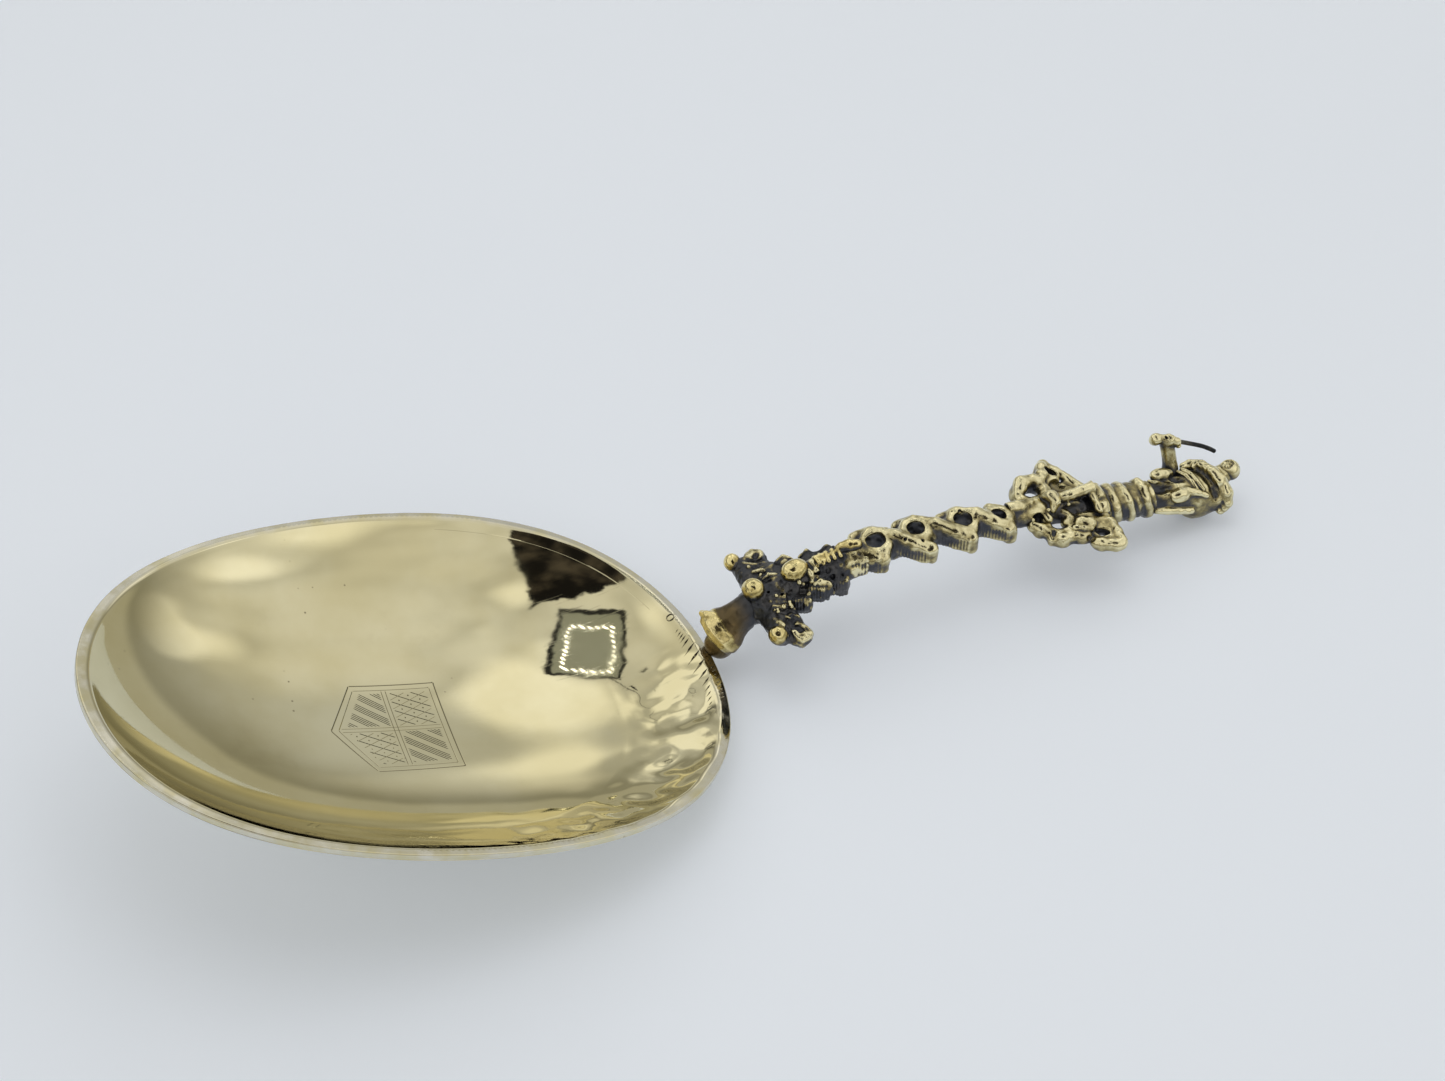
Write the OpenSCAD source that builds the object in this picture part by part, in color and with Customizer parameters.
// Decorative presentation spoon: an egg-shaped bowl on a cast figural stem.
// It lies on a level surface: the bowl rests on its belly and the stem on the back of the figure.
// +X runs from the bowl to the figure, +Z is up, and Z = 0 is the surface.
// X stations in the modules are measured from the middle of the bowl's rim; place() moves them to the frame.

/* [Bowl] */
// Length of the bowl along its rim
bowl_length = 82; // [80:1:84]
// Greatest width of the bowl
bowl_width = 59.5; // [57:0.5:61]
// Depth of the belly below the rim, outside
bowl_depth = 11.1; // [10.9:0.1:11.5]
// Thickness of the sheet at the belly
bowl_wall = 0.7; // [0.6:0.1:0.8]
// Width of the flat rim
rim_width = 1.3; // [1:0.1:1.6]
// Height of the upright outer edge of the rim
rim_height = 0.9; // [0.6:0.1:1.2]
// Angle of the rim to the surface, with the tip raised
bowl_tilt = 18.6; // [18:0.2:19.4]

/* [Stem] */
// Station of the stem's highest point
crest_x = 66; // [64:0.5:68]
// Height of the stem's axis there
crest_z = 12; // [11.5:0.1:12.5]
// Height of the stem's axis at the root
root_z = 5; // [4.6:0.1:5.4]
// Height of the stem's axis at the figure's head
end_z = 4.4; // [4.2:0.1:4.6]
// Radius of the plain core of the stem
core_r = 2.3; // [2.2:0.1:2.4]

/* [Root] */
// Radius of the flared mouth
flare_r = 4.2; // [3.8:0.1:4.4]
// Radius of the neck behind it
root_neck_r = 1.7; // [1.5:0.1:1.9]
// Slope of the root
root_slope = 26; // [24:1:28]

/* [Boss] */
// Reach of the two side arms from the axis
arm_reach = 7.2; // [6.6:0.2:7.6]
// Radius of the side arms
arm_r = 1.6; // [1.4:0.1:1.8]
// Radius of the large beads on top
top_bead_r = 1.6; // [1.4:0.1:1.7]
// Radius of the beads on the arms
arm_bead_r = 1.3; // [1.1:0.1:1.4]

/* [Twist] */
// Distance from one slanting bar to the next
bar_pitch = 5.9; // [5.7:0.1:6]
// Angle of the bars to the stem
bar_slant = 40; // [38:1:44]
// Radius of the holes between the bars
hole_r = 1.2; // [1:0.05:1.25]

/* [Figure] */
// Height of the robed figure from foot to neck
figure_length = 11; // [10.6:0.1:11.4]
// Radius of the head
head_r = 1.5; // [1.4:0.1:1.6]
// Diameter of the thin staff wire
wire_d = 0.7; // [0.6:0.1:0.8]

/* [Hidden] */
$fn = 48;
round_fn = 96;

// Stations where one length of the stem meets the next
seam_root = 44;
seam_boss = 50.4;
seam_ribs = 60;
seam_twist = 82;
seam_knop = 94.5;
seam_vase = 99;
seam_rings = 103.5;
root_x = 38.5;
mouth_x = 39.6;
head_x = seam_rings + figure_length + 2.1;

// Shape of the rim: how much fuller the end at the stem is, and how blunt both ends are
half_length = bowl_length / 2;
broad_end = 0.087;
blunt_ends = 0.16;
egg_peak = 1.003;
half_width = bowl_width / 2 / egg_peak;

// Shape of the bowl from the middle (0) to the rim (1)
belly_power = 2.5;
belly_round = 0.9;
around = 72;
rings = 11;
ring_at = [for (i = [1:rings]) sin(90 * i / rings)];

function rim_point(t, s) = [
    half_length * s * cos(t),
    half_width * s * sin(t) * (1 + broad_end * cos(t) + blunt_ends * pow(cos(t), 2))
];
function belly(s) = pow(max(0, 1 - pow(s, belly_power)), belly_round);
function outer_drop(s) = rim_height + (bowl_depth - rim_height) * belly(s);
function inner_drop(s) = (bowl_depth - bowl_wall) * belly(s);
function ring_points(s, scale_to, drop) =
    [for (j = [0:around - 1]) let (p = rim_point(360 * j / around, s * scale_to)) [p[0], p[1], -drop]];

rim_lift = max([for (s = ring_at) half_length * s * sin(bowl_tilt) + outer_drop(s) * cos(bowl_tilt)]);
inner_scale = (half_length - rim_width) / half_length;
tip_x = -(half_length * cos(bowl_tilt) + rim_height * sin(bowl_tilt));
end_x = head_x + head_r;
mid_x = (tip_x + end_x) / 2;

// Height and slope of the stem's axis: a parabola up to the crest, then half a cosine down to the figure
function axis_z(x) = x < crest_x
    ? crest_z - (crest_z - root_z) * pow((crest_x - x) / (crest_x - root_x), 2)
    : end_z + (crest_z - end_z) / 2 * (1 + cos(180 * (x - crest_x) / (head_x - crest_x)));
function axis_slope(x) = atan(axis_z(x + 0.5) - axis_z(x - 0.5));

module place() {
    translate([-mid_x, 0, 0])
        children();
}

// Puts a shape's Z axis along the stem at station x
module on_axis(x) {
    translate([x, 0, axis_z(x)])
        rotate([0, 90 - axis_slope(x), 0])
            children();
}

// Keeps the part of a shape between two stations
module between(x0, x1) {
    slab_width = 50;
    slab_height = 40;
    intersection() {
        children();
        translate([x0, -slab_width / 2, -1])
            cube([x1 - x0, slab_width, slab_height]);
    }
}

// Plain round core from station x0 to x1, in straight lengths that follow the arch
module core(x0, x1, r, parts) {
    step = (x1 - x0) / parts;
    overrun = 0.6;
    for (i = [0:parts - 1]) {
        on_axis(x0 + (i + 0.5) * step)
            translate([0, 0, -step / 2 - overrun])
                cylinder(h = step + 2 * overrun, r = r);
    }
}

// Rod with round ends between two points, turned from one outline
module rod(a, b, r) {
    run = b - a;
    flat = norm([run[0], run[1]]);
    translate(a)
        rotate([0, atan2(flat, run[2]), atan2(run[1], run[0])])
            rotate_extrude()
                intersection() {
                    union() {
                        square([r, norm(run)]);
                        circle(r = r);
                        translate([0, norm(run)])
                            circle(r = r);
                    }
                    translate([0, -r])
                        square([r, norm(run) + 2 * r]);
                }
}

module bowl() {
    outer = [for (s = ring_at) each ring_points(s, 1, outer_drop(s))];
    lip = ring_points(1, 1, 0);
    lip_inner = ring_points(1, inner_scale, 0);
    inner = [for (i = [rings - 2:-1:0]) each ring_points(ring_at[i], inner_scale, inner_drop(ring_at[i]))];
    poles = [[0, 0, -bowl_depth], [0, 0, bowl_wall - bowl_depth]];
    points = concat(outer, lip, lip_inner, inner, poles);
    bands = len(points) / around;
    last_ring = floor(bands) - 1;
    pole_out = len(points) - 2;
    pole_in = len(points) - 1;
    walls = [for (i = [0:last_ring - 1]) for (j = [0:around - 1]) let (k = (j + 1) % around) each [
        [i * around + j, i * around + k, (i + 1) * around + k],
        [i * around + j, (i + 1) * around + k, (i + 1) * around + j]
    ]];
    belly_fan = [for (j = [0:around - 1]) [pole_out, (j + 1) % around, j]];
    floor_fan = [for (j = [0:around - 1]) let (k = (j + 1) % around)
        [pole_in, last_ring * around + j, last_ring * around + k]];
    color([0.78, 0.72, 0.5])
        place()
            translate([0, 0, rim_lift])
                rotate([0, bowl_tilt, 0])
                    polyhedron(points = points, faces = concat(walls, belly_fan, floor_fan), convexity = 6);
}

// Flared root, cut to sit against the upright edge of the rim and over it
module stem_root() {
    flare_length = 5.4;
    flare_curve = 5.6;
    edge_curve = 34.5;
    edge_depth = 20;
    seat_r = 2.4;
    color([0.5, 0.42, 0.2])
        place()
            difference() {
                between(root_x - 2, seam_root) {
                    translate([mouth_x, 0, root_z + 0.3])
                        rotate([0, 90 - root_slope, 0]) {
                            rotate_extrude($fn = round_fn)
                                difference() {
                                    square([flare_r, flare_length]);
                                    translate([root_neck_r + flare_curve, flare_length])
                                        circle(r = flare_curve, $fn = round_fn);
                                }
                            cylinder(h = flare_length + 2, r = root_neck_r);
                        }
                    translate([mouth_x + 0.7, 0, root_z - 1.2])
                        sphere(r = seat_r);
                }
                translate([0, 0, rim_lift])
                    rotate([0, bowl_tilt, 0])
                        translate([half_length - edge_curve, 0, -edge_depth])
                            cylinder(h = edge_depth, r = edge_curve, $fn = 180);
            }
}

bead_x = 45.5;
scroll_x = 48.6;
boss_z = 9.2;
seat_depth = 0.7;
stub_h = 4;
// Large beads on top, one on the boss and one on the ribbed stretch: station, offset to the far side, height, radius
front_bead = [45.3, -0.2, 12.3, top_bead_r];
rear_bead = [50.9, 0.2, 12.8, top_bead_r + 0.2];

// Short upright post that carries a large bead
module bead_post(b) {
    translate([b[0], b[1], b[2] - seat_depth - stub_h])
        cylinder(h = stub_h, r = b[3] - 0.3);
}

// Bead with a flat seat below its middle
module seated_bead(r) {
    intersection() {
        sphere(r = r);
        translate([-r, -r, -seat_depth])
            cube([2 * r, 2 * r, 2 * r]);
    }
}

// Straight bar across the stem, as long on the far side as on the near side
module crossbar(x, z, half, r) {
    translate([x, half, z])
        rotate([90, 0, 0])
            cylinder(h = 2 * half, r = r);
}

// Cross-shaped boss: a ball with two side arms that end in scrolls, and flat seats for the beads
module knob_boss() {
    ball_r = 3.3;
    ball_x = 47.2;
    scroll_r = 1.75;
    scroll_h = 3;
    branch_r = 1.2;
    branch_gap = 0.4;
    color([0.2, 0.19, 0.18])
        place()
            between(seam_root, seam_boss) {
                core(seam_root - 0.5, seam_boss + 0.5, core_r, 1);
                translate([ball_x, 0, boss_z])
                    sphere(r = ball_r);
                crossbar(bead_x + 1, boss_z, arm_reach - seat_depth, arm_r);
                crossbar(scroll_x - branch_gap, boss_z - branch_gap / 2, arm_reach - 0.6, branch_r);
                for (side = [-1, 1]) {
                    translate([scroll_x, side * arm_reach, boss_z - scroll_h / 2])
                        cylinder(h = scroll_h, r = scroll_r);
                }
                bead_post(front_bead);
            }
}

module boss_beads() {
    arm_bead_lift = 0.4;
    color([0.8, 0.68, 0.3])
        place() {
            for (b = [front_bead, rear_bead]) {
                translate([b[0], b[1], b[2]])
                    seated_bead(b[3]);
            }
            for (side = [-1, 1]) {
                translate([bead_x, side * arm_reach, boss_z + arm_bead_lift])
                    rotate([-90 * side, 0, 0])
                        seated_bead(arm_bead_r);
            }
        }
}

// Ribbed stretch: upright drums along the near side, bumps along the far side
rib_count = 3;
module ribbed_section() {
    first = 51.9;
    pitch = 2.6;
    drum_r = 1.35;
    drum_h = 4;
    drum_y = 2.3;
    bump_r = 1.5;
    bump_y = 3.2;
    bump_x = 0.6;
    color([0.3, 0.28, 0.24])
        place()
            between(seam_boss, seam_ribs) {
                core(seam_boss - 0.5, seam_ribs + 0.5, core_r + 0.2, 1);
                bead_post(rear_bead);
                for (i = [0:rib_count - 1]) {
                    x = first + i * pitch;
                    translate([x, -drum_y, axis_z(x) - drum_h / 2])
                        cylinder(h = drum_h, r = drum_r);
                    translate([x - bump_x, bump_y, axis_z(x)])
                        sphere(r = bump_r);
                }
            }
}

// Cross-ribbed strip on top of the ribbed stretch
module ladder_strap() {
    strap_w = 1.8;
    strap_h = 0.9;
    strap_sink = 0.6;
    strap_x0 = 53.5;
    rung_count = 5;
    rung_r = 0.35;
    rung_pitch = 1;
    rung_half = 1.4;
    color([0.75, 0.65, 0.32])
        place()
            difference() {
                for (i = [0:rung_count - 1]) {
                    x = strap_x0 + (i + 0.5) * rung_pitch;
                    on_axis(x) {
                        translate([-core_r - strap_h, -strap_w / 2, -rung_pitch / 2 - 0.1])
                            cube([strap_h + strap_sink, strap_w, rung_pitch + 0.2]);
                        translate([-core_r - strap_h, rung_half, 0])
                            rotate([90, 0, 0])
                                cylinder(h = 2 * rung_half, r = rung_r);
                    }
                }
                core(seam_boss - 0.5, seam_ribs + 0.5, core_r + 0.2, 1);
            }
}

// Pierced twist: slanting bars across the core with an upright hole between each pair
module pierced_twist() {
    bar_count = 5;
    first = 59.5;
    bar_r = 1.5;
    bar_half = 3.6;
    hole_y = 0.1;
    color([0.6, 0.52, 0.26])
        place()
            difference() {
                between(seam_ribs, seam_twist) {
                    core(seam_ribs - 0.5, seam_twist + 0.5, core_r + 0.1, 2);
                    for (i = [0:bar_count - 1]) {
                        x = first + i * bar_pitch;
                        dx = bar_half * cos(bar_slant);
                        dy = bar_half * sin(bar_slant);
                        rod([x - dx, dy, axis_z(x - dx)], [x + dx, -dy, axis_z(x + dx)], bar_r);
                    }
                }
                for (i = [0:bar_count - 2]) {
                    translate([first + (i + 0.5) * bar_pitch, hole_y, 0])
                        cylinder(h = 20, r = hole_r, $fn = 32);
                }
            }
}

module knop_core() {
    color([0.35, 0.32, 0.24])
        place()
            between(seam_twist, seam_knop)
                core(seam_twist - 0.5, seam_knop + 0.5, core_r, 1);
}

// Openwork scroll bracket: two rings joined by bars, beside the knop's core
module scroll_wing(side) {
    ring_wide = 2.3;
    ring_bar = 0.95;
    ring_x = 86.6;
    eye_wide = 1.3;
    eye_x = 91.2;
    eye_drop = 0.4;
    difference() {
        between(seam_twist, seam_knop) {
            translate([ring_x, side * 3.9, axis_z(ring_x)])
                rotate_extrude()
                    translate([ring_wide, 0])
                        circle(r = ring_bar);
            translate([eye_x, side * 6.6, axis_z(eye_x) - eye_drop])
                rotate_extrude()
                    translate([eye_wide, 0])
                        circle(r = ring_bar);
            rod([82.6, side * 2, axis_z(82.6)], [85, side * 3, axis_z(85)], 1);
            rod([88.6, side * 5.2, axis_z(88.6)], [90.2, side * 7.4, axis_z(90.2)], 0.9);
            rod([89, side * 3.4, axis_z(89)], [93.2, side * 1.8, axis_z(93.2)], 1);
            rod([90, side * 4.6, axis_z(90)], [92, side * 5.4, axis_z(92) - 0.3], 0.9);
        }
        core(seam_twist - 0.5, seam_knop + 0.5, core_r, 1);
    }
}

module scroll_wing_far() {
    color([0.66, 0.56, 0.28])
        place()
            scroll_wing(1);
}

module scroll_wing_near() {
    color([0.66, 0.56, 0.28])
        place()
            scroll_wing(-1);
}

// Small vase with upright lobes all round
module gadrooned_vase() {
    lobes = 8;
    lobe_r = 1.3;
    belly_r = 2;
    x = (seam_knop + seam_vase) / 2;
    color([0.6, 0.52, 0.28])
        place()
            between(seam_knop, seam_vase) {
                core(seam_knop - 0.5, seam_vase + 0.5, core_r, 2);
                on_axis(x) {
                    for (i = [0:lobes - 1]) {
                        rotate([0, 0, 360 * i / lobes])
                            translate([belly_r, 0, 0.3])
                                sphere(r = lobe_r);
                    }
                }
            }
}

// Turned rings: round beads of two sizes on a short core
module neck_rings() {
    ring_place = [0.9, 2.2, 3.6];
    ring_radius = [2.4, 2.3, 2.4];
    bead_r = [0.75, 0.55, 0.8];
    color([0.7, 0.62, 0.35])
        place()
            between(seam_vase, seam_rings) {
                core(seam_vase - 0.5, seam_rings + 0.5, core_r, 2);
                for (i = [0:2]) {
                    on_axis(seam_vase + ring_place[i])
                        rotate_extrude($fn = round_fn)
                            translate([ring_radius[i], 0])
                                circle(r = bead_r[i]);
                }
            }
}

// Robed figure lying on its back: turned robe, cape edge, two sleeves and a back that meets the surface
back_x = seam_rings + 7.6;
module robe() {
    back_r = 3.5;
    foot_r = 2.9;
    waist_r = 2.6;
    chest_r = 3.2;
    neck_r = 1.2;
    between(seam_rings, head_x + 1) {
        on_axis(seam_rings - 0.4)
            rotate_extrude()
                polygon([[0, 0], [foot_r, 0], [waist_r, 4], [chest_r, 8], [waist_r, 10.4], [0, figure_length]]);
        rod([back_x + 1.6, 0, 5], [head_x - 0.5, 0, end_z + 1], neck_r);
        translate([back_x, 0, back_r])
            sphere(r = back_r);
        rod([back_x + 0.6, -2.6, 5.6], [back_x + 2.6, 1.6, 6.2], 1.1);
        rod([seam_rings + 1.8, 1.4, 7], [seam_rings + 5, 1, 6.9], 0.9);
        rod([seam_rings + 4.6, -1.8, 6.6], [seam_rings + 7.4, -1.5, 6.7], 1);
    }
}

module head_ball() {
    translate([head_x, 0, end_z + 1.2])
        sphere(r = head_r);
}

// Raised arm: a straight forearm and a crosswise fist
arm_root = [seam_rings + 4.7, 2.5, 6.4];
arm_fist = [seam_rings + 4.5, 3.9, 11];
fist_left = [-1.5, 0.5, 0.3];
fist_right = [1.4, -0.5, -0.1];
module arm_shape() {
    rod(arm_root, arm_fist, 0.85);
    rod(arm_fist + fist_left, arm_fist + fist_right, 0.95);
}

module figure_body() {
    color([0.6, 0.52, 0.28])
        place()
            difference() {
                robe();
                head_ball();
                arm_shape();
            }
}

module figure_head() {
    color([0.8, 0.7, 0.36])
        place()
            head_ball();
}

module raised_arm() {
    color([0.66, 0.58, 0.32])
        place()
            difference() {
                arm_shape();
                staff();
            }
}

// Thin wire from the fist: an arc of one ring that dips towards the head
module staff() {
    bend_r = 14;
    bend_angle = 31;
    bend_end = 44;
    start = bend_end + bend_angle;
    translate(arm_fist + fist_right - bend_r * [cos(start), 0, sin(start)])
        rotate([90, 0, -5])
            rotate([0, 0, bend_end])
                rotate_extrude(angle = bend_angle, $fn = round_fn)
                    translate([bend_r, 0])
                        circle(d = wire_d, $fn = 24);
}

module staff_wire() {
    color([0.2, 0.2, 0.2])
        place()
            staff();
}

bowl();
stem_root();
knob_boss();
boss_beads();
ribbed_section();
ladder_strap();
pierced_twist();
knop_core();
scroll_wing_far();
scroll_wing_near();
gadrooned_vase();
neck_rings();
figure_body();
figure_head();
raised_arm();
staff_wire();
